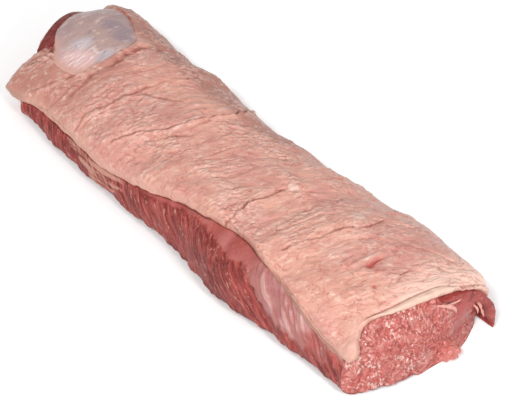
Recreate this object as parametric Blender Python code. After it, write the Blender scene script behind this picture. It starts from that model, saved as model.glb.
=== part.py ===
"""A whole boneless beef striploin, raw and untied, lying fat side up.

The loin's lean is one long muscle with a rounded far end and a slanting near cut. A cap of fat lies over its top,
a thin strap of side muscle runs down its flank side under the cap, and silver skin covers the dome at the far end.
X runs along the loin to the near cut, Y across it to the flank side, and Z up from the table.
"""

import bpy
import numpy as np

MM = 0.001
GAP = 0.3

# The section's sizes in millimetres at these places along the loin. The section is a superellipse in four quarters:
# its reach to each side, the lean's height, where the crown lies across, how high each side is widest, and how square
# the two shoulders and the foot are. The last two rows are the heights of the fat cap's two edges.
STATIONS = (-290, -250, -200, -140, -80, -20, 40, 115, 175, 235, 290)
CHINE_REACH = (-76, -81, -83, -88, -89, -88, -89, -99, -89, -88, -85)
FLANK_REACH = (62, 73, 71, 67, 69, 67, 67, 74, 82, 77, 73)
LEAN_HEIGHT = (39, 51, 56, 58, 60, 62, 64, 66, 68, 68, 67)
CROWN_PLACE = (18, 14, 10, 5, 0, -6, -10, -12, -10, -7, 0)
CHINE_BELLY = (14, 14, 13, 13, 13, 13, 13, 13, 13, 13, 13)
FLANK_BELLY = (18, 20, 20, 20, 20, 20, 20, 20, 20, 20, 20)
CHINE_SQUARE = (1.6, 1.6, 1.75, 1.9, 2.2, 3.0, 3.8, 4.0, 3.6, 2.3, 2.0)
FLANK_SQUARE = (2.2, 2.2, 2.2, 2.1, 2.0, 2.0, 2.0, 2.0, 2.1, 2.1, 2.1)
UNDER_SQUARE = (2.8, 2.8, 3.0, 3.2, 3.2, 3.2, 3.2, 3.2, 3.4, 4.2, 5.0)
CHINE_CAP_HEIGHT = (20, 21, 25, 29, 32, 45, 58, 60, 57, 42, 34)
FLANK_CAP_HEIGHT = (24, 24, 24, 24, 24, 24, 24, 27, 33, 41, 44)

# The section's axis is off the middle of the footprint, which is the origin, by this much.
FOOTPRINT_SHIFT = (1.5, 8.0, 0.0)

# Angles round the section where its two sides meet the underside.
CHINE_FOOT = 205.0
FLANK_FOOT = 335.0

# The rims along X, at these turns round the loin: 0 at the cap's flank edge, 1 at its chine edge, 1.25 and 1.75 at the
# feet of the two sides, and 2 back at the flank edge.
TURNS = (0.0, 0.2, 0.4, 0.6, 0.75, 0.85, 1.0, 1.25, 1.5, 1.75)
NEAR_RIM = (278, 280, 275, 271, 260, 259, 260, 267, 283, 262)
FAR_RIM = (-278, -284, -281, -271, -258, -254, -250, -248, -264, -272)

# The cap stops short of the far rim in a bay round the dome.
BAY_TURNS = (0.0, 0.15, 0.24, 0.36, 0.5, 0.7, 0.78, 0.86, 1.0)
BAY_EDGE = (-273, -275, -224, -194, -182, -180, -188, -249, -246)
# The lean swells up inside the bay, level with the cap. Its slopes are a length along X and a share of a turn across.
DOME_RISE = 7.0
DOME_LENGTH = 20.0
DOME_TURNS = (0.22, 0.80)
DOME_SIDE = 0.11

# The cap is full in its middle and thins over a width to its edges, but its near edge is cut blunt.
CAP_THICKNESS = 8.0
CAP_CUT_THICKNESS = 7.0
CAP_EDGE_THICKNESS = 2.6
CAP_EDGE_WIDTH = 14.0
CAP_ARC = 190.0
CAP_ROUNDING = 2.5

# The strap grows from its far end to full thickness, thins to its two edges, and hangs past the near cut.
STRAP_START = 20.0
STRAP_FULL = 150.0
STRAP_TURNS = (1.73, 2.42)
STRAP_SIDE = 0.2
STRAP_THICKNESS = 8.0
STRAP_EDGE_THICKNESS = 1.6
STRAP_TIP = 280.0

SKIN_THICKNESS = 1.2
SKIN_TURNS = (0.26, 0.81)

# Waves that swell the meat: length along X over a radian, times round the section, start, and height in millimetres.
SWELLINGS = ((17, 3, 0, 0.55), (29, -4, 2, 0.55), (11, 2, 4, 0.45))
FOOT_FADE = 20.0

# Middles of the two end faces.

NEAR_CENTRE = (281.0, -4.0, 32.0)
FAR_CENTRE = (-286.0, 12.0, 18.0)

LENGTH_ROWS = 40
DOME_ROWS = (0.0, 0.18, 0.36, 0.54, 0.7, 0.84, 0.94)
CAP_COLUMNS = 26
UNDER_COLUMNS = 20
END_RINGS = (0.94, 0.8, 0.6, 0.35)

LEAN_RED = (0.30, 0.055, 0.05)
STRAP_RED = (0.36, 0.09, 0.08)
FAT_CREAM = (0.69, 0.43, 0.34)
SKIN_GREY = (0.48, 0.42, 0.46)


def curve(knots, values, at):
    """Smooth curve through the values: cubic pieces whose slope at a knot is the weighted mean of its two sides."""
    k = np.asarray(knots, float)
    v = np.asarray(values, float)
    width = np.diff(k)
    side = np.diff(v) / width
    inner = (side[1:] * width[:-1] + side[:-1] * width[1:]) / (width[1:] + width[:-1])
    slope = np.concatenate([side[:1], inner, side[-1:]])
    i = np.clip(np.searchsorted(k, at, side="right") - 1, 0, len(k) - 2)
    t = (at - k[i]) / width[i]
    s = 1 - t
    ends = s * s * (1 + 2 * t) * v[i] + t * t * (1 + 2 * s) * v[i + 1]
    return ends + t * s * width[i] * (s * slope[i] - t * slope[i + 1])


def along(values, x):
    """One of the section's sizes at x."""
    return curve(STATIONS, values, np.clip(x, STATIONS[0] - 10, STATIONS[-1] + 10))


def around(values, turn):
    """A rim's place at a turn, the same again after two turns."""
    knots = [t - 2 for t in TURNS[-3:]] + list(TURNS) + [t + 2 for t in TURNS[:3]]
    return curve(knots, list(values[-3:]) + list(values) + list(values[:3]), turn % 2.0)


def ease(t):
    """Smooth step from 0 to 1."""
    t = np.clip(t, 0.0, 1.0)
    return t * t * (3 - 2 * t)


def section(x, angle):
    """The core's outline across at x: four superellipse quarters, from the flank over the crown, cut flat below."""
    c = np.cos(np.radians(angle))
    s = np.sin(np.radians(angle))
    flank = c >= 0
    crown = along(CROWN_PLACE, x)
    reach = np.where(flank, along(FLANK_REACH, x) - crown, crown - along(CHINE_REACH, x))
    middle = (along(FLANK_BELLY, x) + along(CHINE_BELLY, x)) / 2
    belly = np.where(flank, along(FLANK_BELLY, x), along(CHINE_BELLY, x))
    belly = middle + (belly - middle) * np.abs(c)
    rise = np.where(s >= 0, along(LEAN_HEIGHT, x) - belly, belly + 2)
    square = np.where(flank, along(FLANK_SQUARE, x), along(CHINE_SQUARE, x))
    under = np.where(flank, along(UNDER_SQUARE, x), UNDER_SQUARE[0])
    power = 2 / np.where(s >= 0, square, under)
    y = crown + reach * np.sign(c) * np.abs(c) ** power
    z = belly + rise * np.sign(s) * np.abs(s) ** power
    return y, np.maximum(z, 0.0)


def cap_edge(x, height, belly, square):
    """Angle above the widest point where the outline reaches the cap's edge."""
    part = (along(height, x) - along(belly, x)) / (along(LEAN_HEIGHT, x) - along(belly, x))
    return np.degrees(np.arcsin(np.clip(part, 0.0, 1.0) ** (along(square, x) / 2)))


def angle_at(x, turn):
    """Turn 0 to 1 goes over the crown between the cap's edges, and 1 to 2 goes back by way of the two feet."""
    flank = cap_edge(x, FLANK_CAP_HEIGHT, FLANK_BELLY, FLANK_SQUARE)
    chine = 180 - cap_edge(x, CHINE_CAP_HEIGHT, CHINE_BELLY, CHINE_SQUARE)
    down = chine + (CHINE_FOOT - chine) * (turn - 1) / 0.25
    under = CHINE_FOOT + (FLANK_FOOT - CHINE_FOOT) * (turn - 1.25) / 0.5
    up = FLANK_FOOT + (360 + flank - FLANK_FOOT) * (turn - 1.75) / 0.25
    below = np.where(turn <= 1.25, down, np.where(turn <= 1.75, under, up))
    return np.where(turn <= 1, flank + (chine - flank) * turn, below)


def surface(x, turn, out):
    """The core's surface moved out along its normal, which is the cross product of its two directions."""
    turn = np.where(turn > 2, turn - 2, turn)
    angle = angle_at(x, turn)
    y, z = section(x, angle)
    y_after, z_after = section(x, angle + 0.5)
    y_before, z_before = section(x, angle - 0.5)
    y_near, z_near = section(x + 1, angle)
    y_far, z_far = section(x - 1, angle)
    across = np.stack([0 * y, y_after - y_before, z_after - z_before], -1)
    lengthways = np.stack([2 + 0 * y, y_near - y_far, z_near - z_far], -1)
    normal = np.cross(across, lengthways)
    normal = normal / np.linalg.norm(normal, axis=-1, keepdims=True)
    point = np.stack([x, y, z], -1) + normal * np.asarray(out)[..., None]
    point[..., 2] = np.maximum(point[..., 2], 0.0)
    return point


def lumps(x, turn):
    """Broad swellings of the meat: slow sine waves that cross each other, none on the flat underside."""
    angle = angle_at(x, np.where(turn > 2, turn - 2, turn))
    bearing = np.radians(angle)
    waves = sum(height * np.sin(x / length + times * bearing + start) for length, times, start, height in SWELLINGS)
    under = ease((angle - CHINE_FOOT) / FOOT_FADE + 0.5) * ease((FLANK_FOOT - angle) / FOOT_FADE + 0.5)
    return waves * (1 - under)


def cap_far_edge(turn):
    """Where the cap stops at the far end: the bay over the crown, and just short of the rim elsewhere."""
    over = curve(BAY_TURNS, BAY_EDGE, np.clip(turn, 0.0, 1.0))
    flank, chine = BAY_EDGE[0], BAY_EDGE[-1]
    under = chine + (flank - chine) * ease(turn - 1)
    return np.where(turn <= 1, over, under)


def strap_depth(x, turn):
    """Thickness of the strap: thin at its far end and its two edges, full along its middle, none outside them."""
    turn = np.where(turn < 1, turn + 2, turn)
    lower, upper = STRAP_TURNS
    grown = ease((x - STRAP_START) / (STRAP_FULL - STRAP_START))
    within = ease((turn - lower) / STRAP_SIDE) * ease((upper - turn) / STRAP_SIDE)
    depth = STRAP_EDGE_THICKNESS + (STRAP_THICKNESS - STRAP_EDGE_THICKNESS) * grown * within
    return np.where((x > STRAP_START) & (turn > lower) & (turn < upper), depth, 0.0)


def dome(x, turn):
    """Swelling of the lean inside the bay, from its edge inwards."""
    flank, chine = DOME_TURNS
    inside = ease((turn - flank) / DOME_SIDE) * ease((chine - turn) / DOME_SIDE)
    return DOME_RISE * inside * ease((cap_far_edge(turn) - x) / DOME_LENGTH)


def barrel(turn, part):
    """x at a part, 0 to 1, of the way from the cap's far edge to the near rim."""
    edge = cap_far_edge(np.where(turn > 2, turn - 2, turn))
    return edge + (around(NEAR_RIM, turn) - edge) * part


def ring_turns():
    """Turns of the columns right round the loin: cap columns, then the ones under it."""
    over = np.linspace(0, 1, CAP_COLUMNS + 1)
    under = np.linspace(1, 2, UNDER_COLUMNS + 1)
    return np.concatenate([over[:-1], under[:-1]])


def closed_end(rim, centre, power):
    """Rings that shrink from a rim to a centre; x nears the centre's by the given power of the ring's size."""
    size = np.asarray(END_RINGS)[:, None, None]
    rings = centre + (rim - centre) * size
    rings[..., 0] = centre[0] + (rim[:, 0] - centre[0]) * size[..., 0] ** power
    rings[..., 2] = np.maximum(rings[..., 2], 0.0)
    return rings


def grid_faces(rows, columns, start, wrap):
    """Quads of a grid of points, numbered row by row from start, closed round the columns if wrap is set."""
    index = start + np.arange(rows * columns).reshape(rows, columns)
    after = np.roll(index, -1, axis=1)
    if not wrap:
        index, after = index[:, :-1], after[:, :-1]
    return np.stack([index[:-1], after[:-1], after[1:], index[1:]], -1).reshape(-1, 4)


def add_object(name, points, faces, material):
    """Smooth-shaded mesh object from points in millimetres and triangles."""
    mesh = bpy.data.meshes.new(name)
    mesh.from_pydata(((points + FOOTPRINT_SHIFT) * MM).tolist(), [], faces.tolist())
    mesh.materials.append(material)
    mesh.shade_smooth()
    meat.objects.link(bpy.data.objects.new(name, mesh))


def split(quads):
    """Two triangles for each quad, all on the same diagonal, so that facing sheets keep their gap."""
    return np.concatenate([quads[:, [0, 1, 2]], quads[:, [0, 2, 3]]])


def add_slab(name, inner, outer, material):
    """Closed solid between two grids of the same size: both sheets, and a wall round their four sides."""
    rows, columns = inner.shape[:2]
    count = rows * columns
    index = np.arange(count).reshape(rows, columns)
    sheet = grid_faces(rows, columns, 0, False)
    border = np.concatenate([index[0, :-1], index[:-1, -1], index[-1, :0:-1], index[:0:-1, 0]])
    after = np.roll(border, -1)
    wall = np.stack([border, after, after + count, border + count], -1)
    faces = np.concatenate([split(sheet)[:, ::-1], split(sheet + count), split(wall)])
    points = np.concatenate([inner.reshape(-1, 3), outer.reshape(-1, 3)])
    add_object(name, points, faces, material)


def make_material(name, colour, roughness):
    material = bpy.data.materials.new(name)
    material.use_nodes = True
    shader = material.node_tree.nodes["Principled BSDF"]
    shader.inputs["Base Color"].default_value = (*colour, 1.0)
    shader.inputs["Roughness"].default_value = roughness
    shader.inputs["Metallic"].default_value = 0.0
    material.diffuse_color = (*colour, 1.0)
    return material


def lean_offset(x, turn):
    """How far the lean's surface lies from the core's: swellings, less the bed of the strap."""
    strap = strap_depth(x, turn)
    bed = strap + GAP * (strap > 0)
    return lumps(x, turn) - bed


def make_lean():
    turn = ring_turns()
    part = np.linspace(0, 1, LENGTH_ROWS + 1)[:, None]
    x = barrel(turn, part)
    body = surface(x, turn + 0 * x, lean_offset(x, turn + 0 * x))
    edge = cap_far_edge(turn)
    far = around(FAR_RIM, turn)
    x = far + (edge - far) * np.array(DOME_ROWS)[:, None]
    turns = turn + 0 * x
    tip = surface(x, turns, lumps(x, turns) + dome(x, turns))
    far_rings = closed_end(tip[0], np.array(FAR_CENTRE), 1.0)[::-1]
    near_rings = closed_end(body[-1], np.array(NEAR_CENTRE), 2.0)
    grid = np.concatenate([far_rings, tip, body, near_rings])
    rows, columns = grid.shape[:2]
    count = rows * columns
    quads = grid_faces(rows, columns, 0, True)
    ring = np.arange(columns)
    last = ring + count - columns
    far_fan = np.stack([np.full(columns, count), np.roll(ring, -1), ring], -1)
    near_fan = np.stack([np.full(columns, count + 1), last, np.roll(last, -1)], -1)
    points = np.concatenate([grid.reshape(-1, 3), [FAR_CENTRE, NEAR_CENTRE]])
    faces = np.concatenate([split(quads), far_fan, near_fan])
    add_object("eye_of_loin", points, faces, make_material("lean beef", LEAN_RED, 0.4))


def make_cap():
    turn = np.linspace(0, 1, CAP_COLUMNS + 1)
    part = np.linspace(0, 1, LENGTH_ROWS + 1)[:, None]
    x = barrel(turn, part)
    turns = turn + 0 * x
    from_edge = np.minimum(np.minimum(turns, 1 - turns) * CAP_ARC, x - x[0])
    full = 1 - (1 - np.clip(from_edge / CAP_EDGE_WIDTH, 0, 1)) ** CAP_ROUNDING
    thickness = CAP_EDGE_THICKNESS + (CAP_THICKNESS - CAP_EDGE_THICKNESS) * full
    thickness[-1] = np.minimum(thickness[-1], CAP_CUT_THICKNESS)
    swell = lumps(x, turns)
    inner = surface(x, turns, swell + GAP)
    outer = surface(x, turns, 2 * swell + GAP + thickness)
    add_slab("fat_cap", inner, outer, make_material("beef fat", FAT_CREAM, 0.45))


def make_strap():
    turn = ring_turns()
    turn = np.sort(np.where(turn < 1, turn + 2, turn))
    turn = turn[(turn > STRAP_TURNS[0]) & (turn < STRAP_TURNS[1])]
    part = np.linspace(0, 1, LENGTH_ROWS + 1)[:, None]
    x = barrel(turn, part)
    turns = turn + 0 * x
    depth = strap_depth(x, turns)
    keep = depth.min(axis=1) > 0
    x, turns, depth = x[keep], turns[keep], depth[keep]
    inner = surface(x, turns, lumps(x, turns) - depth)
    outer = surface(x, turns, lumps(x, turns))
    for sheet in (inner, outer):
        sheet[-1, :, 0] = np.maximum(sheet[-1, :, 0], STRAP_TIP)
    add_slab("strap_muscle", inner, outer, make_material("side muscle", STRAP_RED, 0.4))


def make_skin():
    turn = np.linspace(0, 1, CAP_COLUMNS + 1)
    turn = turn[(turn > SKIN_TURNS[0]) & (turn < SKIN_TURNS[1])]
    edge = cap_far_edge(turn)
    far = around(FAR_RIM, turn)
    x = far + (edge - far) * np.array(DOME_ROWS)[:, None]
    turns = turn + 0 * x
    base = lumps(x, turns) + dome(x, turns) + GAP
    inner = surface(x, turns, base)
    outer = surface(x, turns, base + SKIN_THICKNESS)
    add_slab("silver_skin", inner, outer, make_material("silver skin", SKIN_GREY, 0.3))


for old in list(bpy.data.objects):
    bpy.data.objects.remove(old, do_unlink=True)

meat = bpy.data.collections.new("beef_striploin")
bpy.context.scene.collection.children.link(meat)

make_lean()
make_cap()
make_strap()
make_skin()
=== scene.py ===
"""Looks of the whole boneless beef striploin: wrinkled fat, fibrous lean, a fresh wet cut and silver skin.

Each large surface is worked out on a grid of two parameters, x along the loin and a turn round it, in
millimetres, by the same section as the solids. Relief is then added along the surface's normal, and masks
go to the materials. The threads of tissue are rings along a path, and the lump is a ball with lobes.
"""

import bpy
import numpy as np
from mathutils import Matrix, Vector


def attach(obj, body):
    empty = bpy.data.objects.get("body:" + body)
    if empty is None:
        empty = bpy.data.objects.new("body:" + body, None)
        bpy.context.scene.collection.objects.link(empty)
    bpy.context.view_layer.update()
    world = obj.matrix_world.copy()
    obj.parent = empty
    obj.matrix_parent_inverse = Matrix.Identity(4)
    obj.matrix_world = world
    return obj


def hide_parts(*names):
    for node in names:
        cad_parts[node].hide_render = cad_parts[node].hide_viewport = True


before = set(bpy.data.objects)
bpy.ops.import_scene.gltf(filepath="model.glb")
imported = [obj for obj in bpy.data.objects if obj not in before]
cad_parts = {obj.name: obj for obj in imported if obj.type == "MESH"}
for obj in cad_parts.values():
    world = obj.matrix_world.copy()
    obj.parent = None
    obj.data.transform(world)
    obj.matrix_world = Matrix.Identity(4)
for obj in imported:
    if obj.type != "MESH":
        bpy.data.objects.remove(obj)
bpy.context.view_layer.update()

MM = 0.001
SEED = 7

# The section's sizes in millimetres at these places along the loin, as in the solids: its reach to each
# side, the lean's height, the crown's place across, how high each side is widest, and how square shoulders
# and foot are.
STATIONS = (-290, -250, -200, -140, -80, -20, 40, 115, 175, 235, 290)
CHINE_REACH = (-76, -81, -83, -88, -89, -88, -89, -99, -89, -88, -85)
FLANK_REACH = (62, 73, 71, 67, 69, 67, 67, 74, 82, 77, 73)
LEAN_HEIGHT = (39, 51, 56, 58, 60, 62, 64, 66, 68, 68, 67)
CROWN_PLACE = (18, 14, 10, 5, 0, -6, -10, -12, -10, -7, 0)
CHINE_BELLY = (14, 14, 13, 13, 13, 13, 13, 13, 13, 13, 13)
FLANK_BELLY = (18, 20, 20, 20, 20, 20, 20, 20, 20, 20, 20)
CHINE_SQUARE = (1.6, 1.6, 1.75, 1.9, 2.2, 3.0, 3.8, 4.0, 3.6, 2.3, 2.0)
FLANK_SQUARE = (2.2, 2.2, 2.2, 2.1, 2.0, 2.0, 2.0, 2.0, 2.1, 2.1, 2.1)
UNDER_SQUARE = (2.8, 2.8, 3.0, 3.2, 3.2, 3.2, 3.2, 3.2, 3.4, 4.2, 5.0)
CHINE_CAP_HEIGHT = (20, 21, 25, 29, 32, 45, 58, 60, 57, 42, 34)
FLANK_CAP_HEIGHT = (24, 24, 24, 24, 24, 24, 24, 27, 33, 41, 44)
FOOTPRINT_SHIFT = (1.5, 8.0, 0.0)
CHINE_FOOT = 205.0
FLANK_FOOT = 335.0

# Rims of the lean along X at these turns: 0 at the cap's flank edge, 1 at its chine edge, 1.25 and 1.75 at
# the two feet. They follow the photograph a little more closely than the solids' rims do.
TURNS = (0.0, 0.2, 0.4, 0.6, 0.75, 0.85, 1.0, 1.25, 1.5, 1.63, 1.75)
NEAR_RIM = (276, 277.5, 272.5, 265.5, 254, 256, 260, 267, 283, 269.5, 260)
FAR_RIM = (-278, -283, -281, -276, -257, -240, -225, -225, -262, -268, -272)

# The rings of the two end slices shrink to these places.
NEAR_CENTRE = (281.0, -4.0, 32.0)
FAR_CENTRE = (-286.0, 12.0, 18.0)

# The fat cap: thickness away from its edges and at them, how wide and how round its edges are, and the way
# over it from edge to edge. SIDE_ARC is the way down a side, from turn 1 to 1.25.
CAP_THICKNESS = 8.0
CAP_EDGE_THICKNESS = 2.6
CAP_EDGE_WIDTH = 14.0
CAP_ROUNDING = 2.5
CAP_ARC = 190.0
SIDE_ARC = 62.0

# The strap: where it starts and where it is full along X, the turns that it lies between, how far in turns
# its edges taper, its thickness and that of its edges, and the place along X that its near end reaches.
STRAP_START = 20.0
STRAP_FULL = 150.0
STRAP_TURNS = (1.73, 2.42)
STRAP_SIDE = 0.2
STRAP_THICKNESS = 8.0
STRAP_EDGE_THICKNESS = 1.6
STRAP_TIP = 280.0

# Swellings of the meat: length, times round, start and height, and the degrees of their fade at the feet.
SWELLINGS = ((17, 3, 0, 0.55), (29, -4, 2, 0.55), (11, 2, 4, 0.45))
FOOT_FADE = 20.0

# Where the fat stops, along X at these turns. At the far end it runs on thinly under the rim of the silver
# skin, and at the near cut its chine corner reaches out over the lean, so both differ a little from the
# solids'.
FAT_TURNS = (0.0, 0.15, 0.22, 0.28, 0.34, 0.45, 0.6, 0.66, 0.7, 0.74, 0.78, 0.86, 1.0)
FAT_EDGE = (-273, -276, -274, -262, -247, -243, -243, -242, -245, -250, -251, -250, -246)
FAT_NEAR_TURNS = (0.0, 0.2, 0.4, 0.6, 0.7, 0.75, 0.8, 0.85, 0.9, 0.94, 1.0)
FAT_NEAR = (276, 277.5, 272.5, 265, 257.5, 254.5, 254.5, 258.5, 265, 267, 263)

# How far the meat rises at these turns where the fat over it thins out at the near cut.
THIN_TURNS = (0.0, 0.2, 0.42, 0.6, 0.75, 0.85, 1.0)
THIN = (0.0, 3.0, 2.0, 2.0, 2.5, 0.0, 0.0)

# The turn at which the fat ends on the chine side, at these places along X. It hangs low at the far end,
# draws back up the loin and comes down again over the double lip.
CHINE_EDGE_X = (-250, -230, -205, -150, -90, -30, 20, 45, 60, 70, 80, 90, 100,
                112, 122, 134, 143, 154, 165, 180, 200, 230)
CHINE_EDGE = (1.02, 1.02, 1.0, 0.998, 1.004, 1.01, 1.008, 1.01, 1.004, 0.985, 0.955, 0.915, 0.895,
              0.885, 0.892, 0.92, 0.938, 0.955, 0.97, 0.985, 0.995, 1.0)

# The silver skin's height over the core, its swelling within a radius of the middle, how far under its top
# the fat and the lean lie, and how far that top drops towards the far end, from where and over what length.
DOME_SKIN_HEIGHT = 7.2
DOME_SWELL = 2.2
DOME_RADIUS = 46.0
FAT_UNDER_SKIN = 0.9
LEAN_UNDER_SKIN = 1.5
FAR_ROLL = 8.0
FAR_ROLL_START = -240.0
FAR_ROLL_LENGTH = 45.0

# Outline of the silver skin round its middle: bearings from the near end towards the chine, and reach.
SKIN_MIDDLE = (-217.5, 0.57)
SKIN_BEARINGS = (-180, -149, -133, -118, -98, -69, -39, -3, 27, 46, 62, 83, 104, 122, 140, 157, 180)
SKIN_REACH = (48, 51, 56, 57, 49, 39, 41, 38, 44, 49, 45, 41, 37, 35, 37, 43, 48)

# Where the fat's top turns over into its near cut, along X at these turns.
LIP_TURNS = (0.0, 0.1, 0.23, 0.33, 0.41, 0.48, 0.59, 0.65, 0.7, 0.77, 0.85)
LIP_EDGE = (275, 276, 276.5, 273, 267.5, 265, 261.5, 258.5, 255.5, 253, 252)

# In degrees: how far off square the wrinkles in the fat run across the loin, and how steeply the side's
# fibres slope down towards the near cut.
WRINKLE_SLANT = 21.0
FIBRE_SLOPE = 48.0

# Folds across the fat cap: places as (turn, x), depth, width, and how far the fold's near lip stands up.
CROSS_FOLDS = (
    (((0.17, -45), (0.42, -35), (0.54, -42), (0.63, -50), (0.70, -60), (0.77, -71), (0.86, -82)),
     2.6, 1.3, 1.8),
    (((0.61, -29), (0.68, -42), (0.75, -53), (0.83, -58), (0.95, -63)), 1.5, 1.8, 0.3),
    (((0.60, 10), (0.65, 5), (0.74, 1)), 1.2, 1.0, 0.2),
    (((0.52, -74), (0.60, -105), (0.64, -117), (0.71, -122), (0.78, -125), (0.85, -133), (0.98, -132)),
     1.9, 1.6, 0.6),
    (((0.30, -100), (0.45, -112), (0.58, -118), (0.66, -119)), 1.4, 1.3, 0.4),
    (((0.66, 85), (0.71, 84), (0.76, 81), (0.82, 82), (0.97, 85)), 2.4, 1.2, 0.9),
    (((0.50, 109), (0.61, 96), (0.70, 83)), 1.3, 1.0, 0.3),
    (((0.37, 168), (0.48, 173), (0.59, 164), (0.65, 160), (0.71, 155), (0.82, 146)), 2.0, 1.2, 0.7),
    (((0.38, 47), (0.54, 63)), 1.4, 1.1, 0.4),
    (((0.32, -165), (0.50, -172), (0.60, -168), (0.68, -168), (0.74, -170), (0.79, -167), (0.86, -171)),
     1.9, 3.0, 0.2),
    (((0.80, -178), (0.89, -176), (0.95, -181)), 1.5, 1.3, 0.5),
    (((0.77, -185), (0.82, -194), (0.88, -202), (0.94, -211)), 1.8, 1.4, 0.8),
    (((0.26, 254), (0.35, 238), (0.46, 235), (0.52, 241)), 1.6, 1.3, 0.5),
    (((0.06, 255), (0.19, 242), (0.26, 224), (0.35, 207)), 1.4, 1.2, 0.4),
    (((0.700, -247), (0.722, -241), (0.745, -235)), 2.4, 0.8, 0.5),
)

# Folds along the chine edge of the cap: places as (x, turn), depth, width, lift.
EDGE_FOLDS = (
    (((-206, 0.987), (-188, 0.972), (-168, 0.976), (-145, 0.98), (-112, 0.992)), 1.4, 0.9, 0.6),
    (((36, 0.986), (60, 0.98), (76, 0.955), (90, 0.898), (112, 0.868), (134, 0.902), (150, 0.938)),
     0.9, 0.8, 0.6),
    (((158, 0.952), (180, 0.972), (215, 0.974), (250, 0.982)), 1.8, 0.9, 0.9),
    (((-249, 0.732), (-236, 0.74), (-220, 0.75)), 2.6, 0.8, 0.6),
    (((-247, 0.712), (-236, 0.72), (-227, 0.727)), 1.8, 0.7, 0.5),
    (((-250, 0.752), (-240, 0.762), (-222, 0.768)), 1.8, 0.8, 0.6),
)

# Nicks and bumps in the fat: x, turn, half-length along and across, height, how red and how pale.
SPOTS = (
    (211, 0.53, 2.0, 7.0, -3.4, 1.0, 0.0),
    (214, 0.552, 3.0, 2.6, -2.4, 0.8, 0.0),
    (205, 0.56, 2.4, 7.0, 1.2, 0.2, 0.6),
    (199, 0.63, 3.2, 4.0, 1.8, 0.35, 0.1),
    (197, 0.605, 2.6, 3.2, 1.6, 0.3, 0.2),
    (203, 0.59, 2.6, 3.0, 1.5, 0.4, 0.0),
    (213, 0.585, 2.4, 2.6, 1.6, 0.3, 0.2),
    (223, 0.55, 2.6, 2.6, 1.2, 0.6, 0.0),
    (235, 0.61, 2.4, 2.4, -0.8, 0.9, 0.0),
    (220, 0.50, 5.0, 7.0, 0.8, 0.0, 0.5),
    (-51, 0.50, 2.4, 3.0, 1.2, 0.6, 0.0),
    (-76, 0.51, 2.4, 3.0, 1.0, 0.5, 0.2),
    (-82, 0.86, 1.6, 1.6, -2.2, 0.9, 0.0),
    (-46, 0.60, 2.2, 11.0, 0.7, 0.0, 1.0),
    (158, 0.50, 7.0, 10.0, 0.3, 0.0, 0.6),
    (90, 0.63, 6.0, 6.0, 0.5, 0.0, 0.7),
    (-172, 0.47, 5.0, 17.0, -0.4, 0.6, 0.0),
    (-15, 0.80, 26.0, 30.0, 0.0, 0.35, 0.0),
    (-242, 0.726, 8.0, 7.0, 0.0, 0.7, 0.0),
    (-246, 0.722, 4.0, 3.0, -1.5, 0.9, 0.0),
    (-100, 0.72, 20.0, 22.0, 0.0, 0.3, 0.0),
    (75, 0.86, 14.0, 14.0, 0.0, 0.35, 0.0),
)


def curve(knots, values, at):
    """Smooth cubic curve through the values; a knot's slope is the weighted mean of its two sides."""
    k = np.asarray(knots, float)
    v = np.asarray(values, float)
    width = np.diff(k)
    side = np.diff(v) / width
    inner = (side[1:] * width[:-1] + side[:-1] * width[1:]) / (width[1:] + width[:-1])
    slope = np.concatenate([side[:1], inner, side[-1:]])
    i = np.clip(np.searchsorted(k, at, side="right") - 1, 0, len(k) - 2)
    t = (at - k[i]) / width[i]
    s = 1 - t
    ends = s * s * (1 + 2 * t) * v[i] + t * t * (1 + 2 * s) * v[i + 1]
    return ends + t * s * width[i] * (s * slope[i] - t * slope[i + 1])


def held(knots, values, at):
    """The smooth curve through the values, held level past its two ends."""
    return curve(knots, values, np.clip(at, knots[0], knots[-1]))


def along(values, x):
    """One of the section's sizes at x."""
    return curve(STATIONS, values, np.clip(x, STATIONS[0] - 10, STATIONS[-1] + 10))


def around(values, turn):
    """A rim's place at a turn, the same again after two turns."""
    knots = [t - 2 for t in TURNS[-3:]] + list(TURNS) + [t + 2 for t in TURNS[:3]]
    return curve(knots, list(values[-3:]) + list(values) + list(values[:3]), turn % 2.0)


def ease(t):
    """Smooth step from 0 to 1."""
    t = np.clip(t, 0.0, 1.0)
    return t * t * (3 - 2 * t)


def bell(distance, width):
    """Bump of height 1 that falls off over a width as exp(-(distance / width) squared)."""
    return np.exp(-((distance / width) ** 2))


def section(x, angle):
    """The core's outline at x: four superellipse quarters from the flank over the crown, flat below."""
    c = np.cos(np.radians(angle))
    s = np.sin(np.radians(angle))
    flank = c >= 0
    crown = along(CROWN_PLACE, x)
    reach = np.where(flank, along(FLANK_REACH, x) - crown, crown - along(CHINE_REACH, x))
    middle = (along(FLANK_BELLY, x) + along(CHINE_BELLY, x)) / 2
    belly = np.where(flank, along(FLANK_BELLY, x), along(CHINE_BELLY, x))
    belly = middle + (belly - middle) * np.abs(c)
    rise = np.where(s >= 0, along(LEAN_HEIGHT, x) - belly, belly + 2)
    square = np.where(flank, along(FLANK_SQUARE, x), along(CHINE_SQUARE, x))
    under = np.where(flank, along(UNDER_SQUARE, x), UNDER_SQUARE[0])
    power = 2 / np.where(s >= 0, square, under)
    y = crown + reach * np.sign(c) * np.abs(c) ** power
    z = belly + rise * np.sign(s) * np.abs(s) ** power
    return y, np.maximum(z, 0.0)


def cap_edge(x, height, belly, square):
    """Angle above the widest point where the outline reaches the cap's edge."""
    part = (along(height, x) - along(belly, x)) / (along(LEAN_HEIGHT, x) - along(belly, x))
    return np.degrees(np.arcsin(np.clip(part, 0.0, 1.0) ** (along(square, x) / 2)))


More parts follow.
